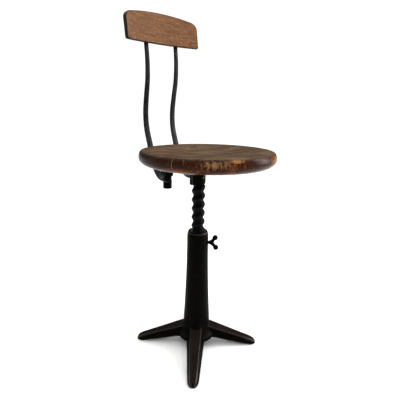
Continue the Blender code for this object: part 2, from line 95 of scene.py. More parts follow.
def srgb(code, alpha=1.0):
    """A hex colour as seen on a screen, turned to the linear values that shaders use."""
    parts = [int(code[i:i + 2], 16) / 255 for i in (1, 3, 5)]
    linear = [c / 12.92 if c <= 0.04045 else ((c + 0.055) / 1.055) ** 2.4 for c in parts]
    return (*linear, alpha)


def new_material(name):
    """An empty Principled material: its tree, its shader and an Object coordinate socket."""
    made = bpy.data.materials.new(name)
    made.use_nodes = True
    tree = made.node_tree
    place = add(tree, "ShaderNodeTexCoord").outputs["Object"]
    return made, tree, tree.nodes["Principled BSDF"], place


def mixed(tree, share, low, high):
    """A colour between two: share is a socket or a number, low and high are colours or sockets."""
    made = add(tree, "ShaderNodeMix", {0: share, 6: low, 7: high}, data_type="RGBA")
    return made.outputs[2]


def spread(tree, value, start, end, low=0.0, high=1.0):
    """A value stretched from start..end to low..high, clamped, with a soft start and end."""
    made = add(tree, "ShaderNodeMapRange", {"Value": value, "From Min": start, "From Max": end,
                                            "To Min": low, "To Max": high},
               interpolation_type="SMOOTHSTEP")
    return made.outputs["Result"]


def loft_faces(rings, count, wrap=False):
    """Quads between neighbouring rings of count points, as an array of corner numbers."""
    rows = np.arange(rings if wrap else rings - 1)[:, None] * count
    above = (rows + count) % (rings * count)
    i = np.arange(count)[None, :]
    j = (i + 1) % count
    return np.stack([rows + i, rows + j, above + j, above + i], 2).reshape(-1, 4)


def closed_loft(rings):
    """Rings stacked into one closed skin: quads between them and a fan onto a middle point at each end."""
    rings = np.asarray(rings, float)
    m, n = rings.shape[:2]
    points = np.concatenate([rings.reshape(-1, 3), [rings[0].mean(0)], [rings[-1].mean(0)]])
    faces = [tuple(f) for f in loft_faces(m, n)]
    last = (m - 1) * n
    faces += [(m * n, (i + 1) % n, i) for i in range(n)]
    faces += [(m * n + 1, last + i, last + (i + 1) % n) for i in range(n)]
    return points, faces


def ring_loft(rings):
    """Rings joined end to end, as round a tube with a bore."""
    rings = np.asarray(rings, float)
    return rings.reshape(-1, 3), [tuple(f) for f in loft_faces(*rings.shape[:2], wrap=True)]


def turned(profile, count, x=0.0, y=0.0):
    """Rings of a turned shape: each (radius, height) pair swept round a vertical axis at x, y."""
    profile = np.asarray(profile, float)
    a = np.linspace(0, 2 * math.pi, count, endpoint=False)
    return np.stack([x + profile[:, :1] * np.cos(a), y + profile[:, :1] * np.sin(a),
                     np.repeat(profile[:, 1:], count, 1)], 2)


def together(*parts):
    """Several closed skins in one list of points and faces."""
    points, faces, start = [], [], 0
    for some_points, some_faces in parts:
        points.append(some_points)
        faces += [tuple(c + start for c in f) for f in some_faces]
        start += len(some_points)
    return np.concatenate(points), faces


def new_piece(name, skin, material, body, slot, *stands_for, smooth=True):
    """Put points and faces in a mesh, faces outward, and make it ride on its body."""
    points, faces = skin
    mesh = bpy.data.meshes.new(name)
    mesh.from_pydata(points.tolist(), [], faces)
    mesh.materials.append(material)
    made = bpy.data.objects.new(name, mesh)
    bpy.context.collection.objects.link(made)
    point_outwards(mesh)
    if smooth:
        mesh.shade_smooth()
    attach(made, body)
    if stands_for:
        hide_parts(*stands_for)
    return made


def point_outwards(mesh):
    """Turn all faces the same way, and outwards, which is where the enclosed volume is positive."""
    bm = bmesh.new()
    bm.from_mesh(mesh)
    bmesh.ops.recalc_face_normals(bm, faces=bm.faces)
    bm.to_mesh(mesh)
    bm.free()


def cast_skin(skin, voxel, rounds):
    """Closed skins that overlap, fused into one and softened like a casting.

    A voxel remesh keeps only the outside; then each round moves every point half way towards the
    mean of its neighbours, and slightly more than half way back, which rounds edges and not shapes.
    """
    points, faces = skin
    mesh = bpy.data.meshes.new("pattern")
    mesh.from_pydata(points.tolist(), [], faces)
    pattern = bpy.data.objects.new("pattern", mesh)
    bpy.context.collection.objects.link(pattern)
    point_outwards(mesh)
    remesh = pattern.modifiers.new("fuse", "REMESH")
    remesh.mode = "VOXEL"
    remesh.voxel_size = voxel
    fused = bpy.data.meshes.new_from_object(pattern.evaluated_get(bpy.context.evaluated_depsgraph_get()))
    bpy.data.objects.remove(pattern)
    out = np.zeros(len(fused.vertices) * 3)
    fused.vertices.foreach_get("co", out)
    out = out.reshape(-1, 3)
    edges = np.zeros(len(fused.edges) * 2, int)
    fused.edges.foreach_get("vertices", edges)
    edges = edges.reshape(-1, 2)
    faces = [tuple(p.vertices) for p in fused.polygons]
    bpy.data.meshes.remove(fused)
    count = np.bincount(edges.ravel(), minlength=len(out))[:, None]
    for _ in range(rounds):
        for pull in (0.5, -0.53):
            total = np.zeros_like(out)
            for k in range(3):
                total[:, k] = (np.bincount(edges[:, 0], out[edges[:, 1], k], len(out))
                               + np.bincount(edges[:, 1], out[edges[:, 0], k], len(out)))
            out += pull * (total / count - out)
    return out, faces


def drill(piece, cutter_skin):
    """Cut a closed skin out of a piece, and keep the cut mesh in place of the piece's own."""
    points, faces = cutter_skin
    mesh = bpy.data.meshes.new("drill")
    mesh.from_pydata(points.tolist(), [], faces)
    point_outwards(mesh)
    cutter = bpy.data.objects.new("drill", mesh)
    bpy.context.collection.objects.link(cutter)
    cut = piece.modifiers.new("drill", "BOOLEAN")
    cut.operation = "DIFFERENCE"
    cut.object = cutter
    cut.solver = "EXACT"
    bpy.context.view_layer.update()
    drilled = bpy.data.meshes.new_from_object(piece.evaluated_get(bpy.context.evaluated_depsgraph_get()))
    piece.modifiers.clear()
    piece.data = drilled
    bpy.data.objects.remove(cutter)


def along(profile, count, start, way):
    """A turned shape whose axis runs from start along any direction: rings of points."""
    way = np.asarray(way, float) / np.linalg.norm(way)
    side = np.cross(way, [0, 0, 1.0])
    if np.linalg.norm(side) < 1e-6:
        side = np.array([1.0, 0, 0])
    side /= np.linalg.norm(side)
    other = np.cross(way, side)
    a = np.linspace(0, 2 * math.pi, count, endpoint=False)
    profile = np.asarray(profile, float)
    ring = np.cos(a)[:, None] * side + np.sin(a)[:, None] * other
    return np.asarray(start) + profile[:, 1][:, None, None] * way + profile[:, 0][:, None, None] * ring


column_top = 0.376
column_radius = 0.0309
foot_radius = 0.0400
foot_height = 0.086
shoulder_height = 0.352
foot_under = 0.034
foot_spread = 0.0585            # radius of the flared foot's lower edge
bore_radius = 0.0243
leg_turn = math.radians(-37.5)      # the first leg and the wing screw point this way
panel_depth = 0.0015            # the sunk panel on top of each leg
panel_lip = 0.0034
panel_start = 0.0475
panel_end = 0.1640
leg_sections = (    # distance out, top z, under z, half width on top, half width below
    (0.026, 0.0735, 0.0300, 0.0172, 0.0295),
    (0.060, 0.0607, 0.0253, 0.0160, 0.0264),
    (0.110, 0.0420, 0.0136, 0.0128, 0.0221),
    (0.150, 0.0270, 0.0045, 0.0108, 0.0186),
    (0.172, 0.0187, 0.0000, 0.0098, 0.0164),
    (0.183, 0.0130, 0.0000, 0.0080, 0.0130),
    (0.188, 0.0070, 0.0010, 0.0045, 0.0072),
)


def column_profile(z):
    """The column's radius at a height: it grows towards the foot with the 1.75th power of the way down."""
    down = np.clip((shoulder_height - z) / (shoulder_height - foot_height), 0, 1)
    return column_radius + (foot_radius - column_radius) * down ** 1.75


def leg_rings(angle):
    """Sections of one leg, a trapezium with cut corners, at even steps along the leg."""
    table = np.array(leg_sections)
    way = np.concatenate([np.linspace(0.026, 0.172, 30), np.linspace(0.1745, 0.188, 7)])
    top, under, half_top, half_low = (np.interp(way, table[:, 0], table[:, k]) for k in (1, 2, 3, 4))
    edge = 0.16 * half_top
    cut = 0.33 * half_low
    side = np.stack([half_top - edge, half_top, half_low, half_low - cut], 1)
    high = np.stack([top, top - edge, under + cut, under], 1)
    b = np.concatenate([side, -side[:, ::-1]], 1)
    z = np.concatenate([high, high[:, ::-1]], 1)
    a = way[:, None]
    return np.stack([axis_x + a * np.cos(angle) - b * np.sin(angle),
                     axis_y + a * np.sin(angle) + b * np.cos(angle), z], 2)


def pedestal_skin():
    """Column, flared foot and legs fused; then the column is trued and the panels are sunk.

    The second result is each point's wear: highest on the edges of the legs' tops, lower at their
    ends and on the column's rim.
    """
    z = np.linspace(foot_under + 0.002, shoulder_height, 60)
    flank = list(zip(column_profile(z), z))
    shoulder = [(0.0307, 0.3605), (0.0302, 0.3670), (0.0290, 0.3722), (0.0275, 0.3750),
                (0.0262, column_top)]
    wall = [(bore_radius, foot_under + 0.002)] + flank + shoulder + [(bore_radius, column_top)]
    column = ring_loft(turned(wall, 72, axis_x, axis_y))
    t = np.linspace(0, 1, 12)
    flare = [(foot_radius - 0.001 + (foot_spread - 0.0005 - foot_radius) * u ** 1.7,
              foot_height - (foot_height - foot_under - 0.010) * u ** 0.75) for u in t]
    disc = [(bore_radius, foot_under), (bore_radius, foot_height)] + flare
    disc += [(foot_spread, foot_under + 0.003), (foot_spread - 0.0015, foot_under)]
    foot = ring_loft(turned(disc, 72, axis_x, axis_y))
    legs = [closed_loft(leg_rings(leg_turn + k * math.pi / 2)) for k in range(4)]
    points, faces = cast_skin(together(column, foot, *legs), 0.0017, 4)
    x = points[:, 0] - axis_x
    y = points[:, 1] - axis_y
    out = np.hypot(x, y)
    true_radius = column_profile(points[:, 2])
    share = np.clip((points[:, 2] - 0.095) / 0.012, 0, 1)
    share = share * share * (3 - 2 * share) * (np.abs(out - true_radius) < 0.003)
    share *= points[:, 2] < shoulder_height + 0.004
    scale = 1 + share * (true_radius / np.maximum(out, 1e-6) - 1)
    inner = (np.abs(out - bore_radius) < 0.0012) & (points[:, 2] < column_top - 0.002)
    scale = np.where(inner, bore_radius / np.maximum(out, 1e-6), scale)
    points[:, 0] = axis_x + x * scale
    points[:, 1] = axis_y + y * scale
    table = np.array(leg_sections)
    wear = np.zeros(len(points))
    for k in range(4):
        angle = leg_turn + k * math.pi / 2
        a = x * np.cos(angle) + y * np.sin(angle)
        b = y * np.cos(angle) - x * np.sin(angle)
        top = np.interp(a, table[:, 0], table[:, 1])
        half = np.interp(a, table[:, 0], table[:, 3])
        on_leg = (a > 0.03) & (np.abs(b) < 0.032) & (points[:, 2] < top + 0.003)
        on_top = on_leg & (points[:, 2] > top - 0.0030) & (np.abs(b) < half)
        inside = np.clip((half - panel_lip - np.abs(b)) / 0.0018, 0, 1)
        ends = np.clip((a - panel_start) / 0.0018, 0, 1) * np.clip((panel_end - a) / 0.0030, 0, 1)
        sunk = np.where(on_top, inside * ends, 0)
        points[:, 2] -= panel_depth * sunk
        edge = np.exp(-((np.abs(b) - half) / 0.0022) ** 2) * (points[:, 2] > top - 0.006)
        tip = np.clip((a - 0.145) / 0.04, 0, 1)
        wear = np.maximum(wear, np.where(on_leg, 0.6 * edge + 0.3 * tip, 0))
    rim = np.exp(-((points[:, 2] - column_top + 0.004) / 0.004) ** 2)
    return (points, faces), np.clip(np.maximum(wear, 0.6 * rim), 0, 1)


def mark(piece, name, values):
    """Store one number for each point, which the material reads by name."""
    layer = piece.data.attributes.new(name, "FLOAT", "POINT")
    layer.data.foreach_set("value", np.asarray(values, np.float32))


def make_painted_iron(name, paint, brown, worn_name=None):
    """Japanned cast iron: black brushed paint over a sand-cast skin, rubbed brown where it wears.

    The eye sees a soft low sheen broken by 4 mm lumps and a fine grit, cloudy brown stains 35 mm
    across, and rusty brown on the edges.
    """
    material, tree, shader, place = new_material(name)
    lumps = add(tree, "ShaderNodeTexNoise", {"Vector": place, "Scale": 260.0, "Detail": 3.0})
    grit = add(tree, "ShaderNodeTexNoise", {"Vector": place, "Scale": 1400.0, "Detail": 2.0})
    clouds = add(tree, "ShaderNodeTexNoise", {"Vector": place, "Scale": 28.0, "Detail": 5.0,
                                              "Roughness": 0.65})
    stain = spread(tree, clouds.outputs["Fac"], 0.45, 0.70)
    colour = mixed(tree, stain, srgb(paint), srgb(brown))
    if worn_name:
        worn = add(tree, "ShaderNodeAttribute", attribute_name=worn_name).outputs["Fac"]
        ragged = add(tree, "ShaderNodeMath", {0: worn, 1: clouds.outputs["Fac"]}, operation="MULTIPLY")
        rubbed = spread(tree, ragged.outputs[0], 0.20, 0.55, 0.0, 0.75)
        colour = mixed(tree, rubbed, colour, srgb("#2a1e17"))
        gleam = spread(tree, worn, 0.30, 0.70, 0.02, 0.32)
        tree.links.new(gleam, shader.inputs["Specular IOR Level"])
    else:
        shader.inputs["Specular IOR Level"].default_value = 0.02
    split = add(tree, "ShaderNodeSeparateXYZ", {0: place})
    # faces that point upwards near the floor, the legs' tops, are painted a paler brown in ragged patches
    facing = add(tree, "ShaderNodeSeparateXYZ", {0: add(tree, "ShaderNodeNewGeometry").outputs["Normal"]})
    near_floor = spread(tree, split.outputs["Z"], 0.10, 0.055)
    low_upward_faces = add(tree, "ShaderNodeMath", {0: near_floor, 1: spread(tree, facing.outputs["Z"], 0.35, 0.95)},
               operation="MULTIPLY")
    speckled = add(tree, "ShaderNodeMath", {0: low_upward_faces.outputs[0],
                                            1: spread(tree, clouds.outputs["Fac"], 0.25, 0.60, 0.35, 0.9)},
                   operation="MULTIPLY")
    colour = mixed(tree, speckled.outputs[0], colour, srgb("#1b1410"))
    tree.links.new(colour, shader.inputs["Base Color"])
    rough = spread(tree, lumps.outputs["Fac"], 0.3, 0.7, 0.36, 0.52)
    tree.links.new(rough, shader.inputs["Roughness"])
    total = add(tree, "ShaderNodeMath", {0: grit.outputs["Fac"], 1: 0.35,
                                         2: lumps.outputs["Fac"]}, operation="MULTIPLY_ADD")
    bump = add(tree, "ShaderNodeBump", {"Strength": 0.45, "Distance": 0.0006,
                                        "Height": total.outputs[0]})
    tree.links.new(bump.outputs["Normal"], shader.inputs["Normal"])
    return material


pedestal_iron = make_painted_iron("japanned_cast_iron", "#020201", "#080503", "worn")
skin, worn = pedestal_skin()
pedestal = new_piece("pedestal_casting", skin, pedestal_iron, "pedestal", "pedestal_iron",
                     "base_casting")
mark(pedestal, "worn", worn)
lock_height = (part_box("lock_pad")[0].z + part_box("lock_pad")[1].z) / 2
lock_way = np.array([math.cos(leg_turn), math.sin(leg_turn), 0.0])
lock_hole = along([(0.0044, 0.015), (0.0044, 0.045)], 32, (axis_x, axis_y, lock_height), lock_way)
drill(pedestal, closed_loft(lock_hole))

# ------------------------------------------------------------------ the bush
# A threaded bush cast of white metal in the top of the column; grey, with black oil on it.


def make_dull_metal(name, colour, dark, roughness, metallic=1.0):
    """Plain machine steel or white metal, handled and oiled: cloudy dark film over grey metal."""
    material, tree, shader, place = new_material(name)
    film = add(tree, "ShaderNodeTexNoise", {"Vector": place, "Scale": 120.0, "Detail": 5.0})
    scratch = add(tree, "ShaderNodeTexNoise", {"Vector": place, "Scale": 900.0, "Detail": 2.0})
    share = spread(tree, film.outputs["Fac"], 0.38, 0.66)
    tree.links.new(mixed(tree, share, srgb(colour), srgb(dark)), shader.inputs["Base Color"])
    rough = spread(tree, film.outputs["Fac"], 0.3, 0.7, roughness - 0.08, roughness + 0.12)
    tree.links.new(rough, shader.inputs["Roughness"])
    shader.inputs["Metallic"].default_value = metallic
    bump = add(tree, "ShaderNodeBump", {"Strength": 0.35, "Distance": 0.0003,
                                        "Height": scratch.outputs["Fac"]})
    tree.links.new(bump.outputs["Normal"], shader.inputs["Normal"])
    return material


white_metal = make_dull_metal("cast_white_metal", "#4c4843", "#141210", 0.45)
nodes["thread_bush"].material_slots[0].material = white_metal

# ------------------------------------------------------------------ the spindle
# A round-thread screw, one turn to the inch, forged and left dark; oil and dirt fill its hollows
# and the crests are rubbed.  Its plain top pin turns in the seat bracket.
pitch = 0.0254
thread_mean = 0.0169
thread_depth = 0.0024
crest_height = 0.4927
crest_angle = math.radians(144.57)
thread_low = 0.175
thread_high = 0.5135
stub_radius = 0.0090            # plain lower end, drilled for the tail bolt
stub_bottom = thread_low - 0.0140
stub_hole = 0.0043
pin_radius = 0.0120             # plain top pin, with a groove for the set screw's point
pin_top = 0.5582
groove_radius = 0.0100
groove_low = 0.5320
groove_high = 0.5400


def spindle_rings(count=72):
    """Round thread: at angle a and height z the radius is a cosine of how far z is from a crest,
    where the crests climb one pitch in each turn."""
    a = np.linspace(0, 2 * math.pi, count, endpoint=False)[None, :]
    z = np.linspace(thread_low, thread_high, 330)[:, None]
    phase = 2 * math.pi * ((z - crest_height) / pitch - (a - crest_angle) / (2 * math.pi))
    wave = np.cos(phase)
    ends = np.clip((z - thread_low) / 0.006, 0, 1) * np.clip((thread_high - z) / 0.004, 0, 1)
    r = thread_mean + thread_depth * (wave * ends - (1 - ends))
    rings = np.stack([axis_x + r * np.cos(a), axis_y + r * np.sin(a), z + 0 * a], 2)
    low = turned([(stub_hole, thread_low + 0.004), (stub_hole, stub_bottom),
                  (stub_radius - 0.0005, stub_bottom), (stub_radius, stub_bottom + 0.0005),
                  (stub_radius, thread_low - 0.0001)], count, axis_x, axis_y)
    high = turned([(pin_radius, thread_high + 0.0001), (pin_radius, groove_low - 0.001),
                   (groove_radius, groove_low), (groove_radius, groove_high),
                   (pin_radius, groove_high + 0.001), (pin_radius, pin_top - 0.0012),
                   (pin_radius - 0.001, pin_top)], count, axis_x, axis_y)
    crest = np.concatenate([np.zeros(5 * count), (wave + 0 * a).ravel() * 0.5 + 0.5,
                            np.full(7 * count, 0.5), [0, 0.5]])
    return np.concatenate([low, rings, high]), crest


def make_spindle_steel():
    """Forged mild steel with a black skin: matt black in the hollows, rubbed grey on the crests."""
    material, tree, shader, place = new_material("forged_dark_steel")
    crest = add(tree, "ShaderNodeAttribute", attribute_name="crest").outputs["Fac"]
    film = add(tree, "ShaderNodeTexNoise", {"Vector": place, "Scale": 160.0, "Detail": 5.0})
    pits = add(tree, "ShaderNodeTexNoise", {"Vector": place, "Scale": 700.0, "Detail": 3.0})
    height = add(tree, "ShaderNodeMath", {0: crest, 1: film.outputs["Fac"]}, operation="MULTIPLY")
    rubbed = spread(tree, height.outputs[0], 0.30, 0.66)
    tree.links.new(mixed(tree, rubbed, srgb("#020202"), srgb("#0a0909")), shader.inputs["Base Color"])
    rough = spread(tree, height.outputs[0], 0.2, 0.6, 0.62, 0.36)
    tree.links.new(rough, shader.inputs["Roughness"])
    shader.inputs["Metallic"].default_value = 0.2
    shader.inputs["Specular IOR Level"].default_value = 0.06
    bump = add(tree, "ShaderNodeBump", {"Strength": 0.4, "Distance": 0.0004,
                                        "Height": pits.outputs["Fac"]})
    tree.links.new(bump.outputs["Normal"], shader.inputs["Normal"])
    return material


spindle_rings_made, crest_values = spindle_rings()
spindle_steel = make_spindle_steel()
spindle = new_piece("round_thread_spindle", closed_loft(spindle_rings_made), spindle_steel,
                    "spindle_screw", "spindle_steel", "spindle")
mark(spindle, "crest", crest_values)

# ------------------------------------------------------------------ tail fittings and small screws
# The guide ring, washer and bolt on the spindle's lower end, inside the column, and the set screw and
# wood screws: plain turned steel gone dull brown-black.  The lock pad is brass.
screw_steel = make_dull_metal("dull_screw_steel", "#3a3632", "#15120f", 0.5)
for name in ["tail_washer", "tail_bolt", "hub_set_screw"] + [
        f"{part}_screw_{k}" for part in ("seat", "back") for k in (1, 2, 3, 4)]:
    nodes[name].material_slots[0].material = screw_steel
guide_iron = make_painted_iron("oiled_cast_iron", "#0f0d0c", "#1c1613")
nodes["tail_guide"].material_slots[0].material = guide_iron
nodes["lock_pad"].material_slots[0].material = make_dull_metal("dull_brass", "#8a6a34", "#3c2c16", 0.42)

# ------------------------------------------------------------------ the wing screw
# A forged wing screw through the column wall: a conical hub and two ball-ended wings, black.
screw_start = 0.0230            # the screw's inner end, from the column's axis
wing_root = 0.0165              # where the wings leave the hub, from the screw's inner end
wing_rise = 0.0152              # each ball's height above or below the screw
ball_radius = 0.0078


def wing_screw_skin():
    """Shank, hub, two swept arms and two balls, fused and softened."""
    origin = np.array([axis_x, axis_y, lock_height])
    shank = [(0.0036, 0.0), (0.0040, 0.0006), (0.0040, 0.0092), (0.0056, 0.0097), (0.0062, 0.0130),
             (0.0078, 0.0180), (0.0073, 0.0215), (0.0030, 0.0243)]
    parts = [closed_loft(along(shank, 40, origin + lock_way * screw_start, lock_way))]
    for sign, reach in ((1, 0.0278), (-1, 0.0302)):
        root = origin + lock_way * (screw_start + wing_root)
        tip = origin + lock_way * (screw_start + reach) + np.array([0, 0, wing_rise * sign])
        long = np.linalg.norm(tip - root)
        t = np.linspace(0, 1, 12)
        arm = list(zip(0.0058 - 0.0012 * t, long * t))
        parts.append(closed_loft(along(arm, 28, root, tip - root)))
        b = np.radians(np.linspace(-84, 84, 17))
        ball = list(zip(ball_radius * np.cos(b), ball_radius * np.sin(b)))
        parts.append(closed_loft(along(ball, 32, tip, tip - root)))
    return cast_skin(together(*parts), 0.0006, 3)


bracket_iron = make_painted_iron("black_bracket_iron", "#020202", "#060505")
new_piece("forged_wing_screw", wing_screw_skin(), bracket_iron, "wing_lock", "bracket_iron", "wing_screw")

# ------------------------------------------------------------------ the seat
# Three boards glued edge to edge, turned to a disc with a thick bullnose rim and hollowed on top.
# The dark varnish is rubbed off the rim in patches and the top has gone dull and grey.
seat_low, seat_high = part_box("seat_board")
seat_x = (seat_low.x + seat_high.x) / 2
seat_y = (seat_low.y + seat_high.y) / 2
seat_radius = (seat_high.x - seat_low.x) / 2
seat_top = seat_high.z
seat_under = seat_low.z
seat_dish = 0.0062
nose_height = 0.0165            # from the top down to the widest place
nose_upper = 0.0088             # how far the round reaches inwards, above and below that place
nose_lower = 0.0316


def seat_rings(count=240):
    """The seat as a turned profile: hollowed top, tight upper edge, wide round under the nose."""
    out = np.linspace(0.002, seat_radius - nose_upper, 46)
    s = np.clip((out - 0.045) / (0.163 - 0.045), 0, 1)
    top = np.stack([out, seat_top - seat_dish * (1 - s * s * (3 - 2 * s)) - 0.0002 * (s < 1)], 1)
    a = np.radians(np.linspace(84, 0, 12))
    upper = np.stack([seat_radius - nose_upper + nose_upper * np.cos(a),
                      seat_top - nose_height + nose_height * np.sin(a)], 1)
    b = np.radians(np.linspace(-8, -90, 16))
    drop = seat_top - nose_height - seat_under
    lower = np.stack([seat_radius - nose_lower + nose_lower * np.cos(b),
                      seat_top - nose_height + drop * np.sin(b)], 1)
    under = np.stack([np.linspace(seat_radius - 0.040, 0.002, 12), np.full(12, seat_under)], 1)
    profile = np.concatenate([top, upper, lower, under])
    return turned(profile, count, seat_x, seat_y), profile


def make_seat_wood():
    """Turned elm under old dark varnish.

    Grain runs across the seat, from side to side, with 14 mm rings and 2 mm pores; on the rim the
    cut ends of the fibres show as upright streaks 3 mm wide.  The eye sees a dull grey-brown hollow,
    a glossy red-brown rim that is nearly black in places (on its left side that black is painted
    shade), orange and tan where it is rubbed, a paler orange along the top edge on the right front
    that is partly chipped varnish and partly painted highlight, and thin pale lines at one end where
    glued joints have opened.
    """
    material, tree, shader, place = new_material("varnished_elm")
    centred = add(tree, "ShaderNodeMapping", {"Vector": place, "Location": (-seat_x, -seat_y, 0.0)})
    split = add(tree, "ShaderNodeSeparateXYZ", {0: centred.outputs[0]})
    long = add(tree, "ShaderNodeMapping", {"Vector": centred.outputs[0], "Scale": (0.09, 1.0, 1.0)})
    upright = add(tree, "ShaderNodeMapping", {"Vector": centred.outputs[0], "Scale": (1.0, 1.0, 0.16)})
    rings = add(tree, "ShaderNodeTexNoise", {"Vector": long.outputs[0], "Scale": 70.0, "Detail": 6.0,
                                             "Roughness": 0.6, "Distortion": 0.5})
    pores = add(tree, "ShaderNodeTexNoise", {"Vector": long.outputs[0], "Scale": 520.0, "Detail": 3.0})
    ends = add(tree, "ShaderNodeTexNoise", {"Vector": upright.outputs[0], "Scale": 330.0,
                                            "Detail": 4.0, "Roughness": 0.6})
    patches = add(tree, "ShaderNodeTexNoise", {"Vector": place, "Scale": 22.0, "Detail": 5.0,
                                               "Roughness": 0.62})
    small = add(tree, "ShaderNodeTexNoise", {"Vector": place, "Scale": 110.0, "Detail": 4.0})
    top, bare, edge, warm, black = (
        add(tree, "ShaderNodeAttribute", attribute_name=name).outputs["Fac"]
        for name in ("top", "bare", "edge", "warm", "black"))
    grain = spread(tree, rings.outputs["Fac"], 0.32, 0.68)
    streak = spread(tree, ends.outputs["Fac"], 0.34, 0.68)
    varnish = mixed(tree, streak, srgb("#1d0b05"), srgb("#43200d"))
    varnish = mixed(tree, spread(tree, patches.outputs["Fac"], 0.42, 0.62), varnish, srgb("#2d160c"))
    orange = mixed(tree, streak, srgb("#57280d"), srgb("#8a4d1f"))
    glow = add(tree, "ShaderNodeMath", {0: warm, 1: patches.outputs["Fac"]}, operation="MULTIPLY")
    varnish = mixed(tree, spread(tree, glow.outputs[0], 0.22, 0.55), varnish, orange)
    # near-black varnish where "black" is high; on the rim's left side this is painted shade
    varnish = mixed(tree, black, varnish, srgb("#1d120d"))
    dull = mixed(tree, grain, srgb("#3a2a1b"), srgb("#66513c"))
    dull = mixed(tree, spread(tree, patches.outputs["Fac"], 0.40, 0.66), dull, srgb("#46311e"))
    dull = mixed(tree, spread(tree, small.outputs["Fac"], 0.60, 0.72, 0.0, 0.5), dull, srgb("#302218"))
    colour = mixed(tree, top, varnish, dull)
    speck = add(tree, "ShaderNodeMath", {0: small.outputs["Fac"], 1: ends.outputs["Fac"]},
                operation="ADD")
    lift = add(tree, "ShaderNodeMath", {0: bare, 1: 2.2}, operation="SUBTRACT")
    rub = add(tree, "ShaderNodeMath", {0: speck.outputs[0], 1: 2.2, 2: lift.outputs[0]},
              operation="MULTIPLY_ADD")
    rubbed = spread(tree, rub.outputs[0], 0.40, 1.30, 0.0, 0.80)
    colour = mixed(tree, rubbed, colour, srgb("#8f6843"))
    # paler orange along the top edge: partly chipped varnish, partly a painted highlight where the edge
    # faces the window
    chips_and_highlight = add(tree, "ShaderNodeMath", {0: edge, 1: small.outputs["Fac"]}, operation="MULTIPLY")
    colour = mixed(tree, spread(tree, chips_and_highlight.outputs[0], 0.34, 0.60), colour, srgb("#8c6038"))
    dark = spread(tree, pores.outputs["Fac"], 0.30, 0.42, 0.5, 0.0)
    colour = mixed(tree, dark, colour, srgb("#1c0f08"))
    lines = []
    for offset, half in ((-0.0822, 0.0004), (-0.0750, 0.0003), (0.0360, 0.0005)):
        away = add(tree, "ShaderNodeMath", {0: split.outputs["Y"], 1: offset}, operation="SUBTRACT")
        size = add(tree, "ShaderNodeMath", {0: away.outputs[0]}, operation="ABSOLUTE")
        lines.append(spread(tree, size.outputs[0], half, 2.2 * half, 1.0, 0.0))
    right_end = spread(tree, split.outputs["X"], -0.10, -0.13)
    rim = add(tree, "ShaderNodeMath", {0: 1.0, 1: top}, operation="SUBTRACT")
    shown = add(tree, "ShaderNodeMath", {0: right_end, 1: rim.outputs[0]}, operation="MULTIPLY")
    glue = add(tree, "ShaderNodeMath", {0: lines[0], 1: lines[2]}, operation="MAXIMUM")
    faint = add(tree, "ShaderNodeMath", {0: glue.outputs[0], 1: 0.5}, operation="MULTIPLY")
    colour = mixed(tree, faint.outputs[0], colour, srgb("#20120a"))
    for line, share in ((lines[0], 0.8), (lines[1], 0.25)):
        pale = add(tree, "ShaderNodeMath", {0: line, 1: shown.outputs[0]}, operation="MULTIPLY")
        pale = add(tree, "ShaderNodeMath", {0: pale.outputs[0], 1: share}, operation="MULTIPLY")
        colour = mixed(tree, pale.outputs[0], colour, srgb("#7d624a"))
    tree.links.new(colour, shader.inputs["Base Color"])
    gloss = spread(tree, top, 0.0, 1.0, 0.27, 0.50)
    scuffed = add(tree, "ShaderNodeMath", {0: rubbed, 1: 0.22, 2: gloss}, operation="MULTIPLY_ADD")
    wobble = spread(tree, small.outputs["Fac"], 0.3, 0.7, -0.05, 0.08)
    rough = add(tree, "ShaderNodeMath", {0: scuffed.outputs[0], 1: wobble}, operation="ADD")
    tree.links.new(rough.outputs[0], shader.inputs["Roughness"])
    shader.inputs["Specular IOR Level"].default_value = 0.06
    across = add(tree, "ShaderNodeMath", {0: ends.outputs["Fac"], 1: rim.outputs[0],
                                          2: rings.outputs["Fac"]}, operation="MULTIPLY_ADD")
    deep = add(tree, "ShaderNodeMath", {0: across.outputs[0], 1: 0.5, 2: pores.outputs["Fac"]},
               operation="MULTIPLY_ADD")
    cut = add(tree, "ShaderNodeMath", {0: glue.outputs[0], 1: -1.2, 2: deep.outputs[0]},
              operation="MULTIPLY_ADD")
    bump = add(tree, "ShaderNodeBump", {"Strength": 0.32, "Distance": 0.0006, "Height": cut.outputs[0]})
    tree.links.new(bump.outputs["Normal"], shader.inputs["Normal"])
    return material


seat_points, seat_profile = seat_rings()
seat = new_piece("dished_seat", closed_loft(seat_points), make_seat_wood(), "seat", "seat_wood",
                 "seat_board")
ring_out = np.repeat(seat_profile[:, 0], seat_points.shape[1])
ring_z = np.repeat(seat_profile[:, 1], seat_points.shape[1])
ring_angle = np.tile(np.linspace(0, 2 * math.pi, seat_points.shape[1], endpoint=False),
                     len(seat_profile))
upper_side = ring_z > seat_top - 0.009
is_top = np.where(upper_side, np.clip((seat_radius - 0.0030 - ring_out) / 0.0050, 0, 1), 0)
is_edge = np.exp(-((ring_out - (seat_radius - 0.0030)) / 0.0030) ** 2) * upper_side


def round_the_rim(spots):
    """Bell-shaped spots round the rim: each is its middle and half width in degrees and its strength."""
    total = np.zeros_like(ring_angle)
    for middle, half, strength in spots:
        off = (ring_angle - math.radians(middle) + math.pi) % (2 * math.pi) - math.pi
        total = np.maximum(total, strength * np.exp(-(off / math.radians(half)) ** 2))
    return total


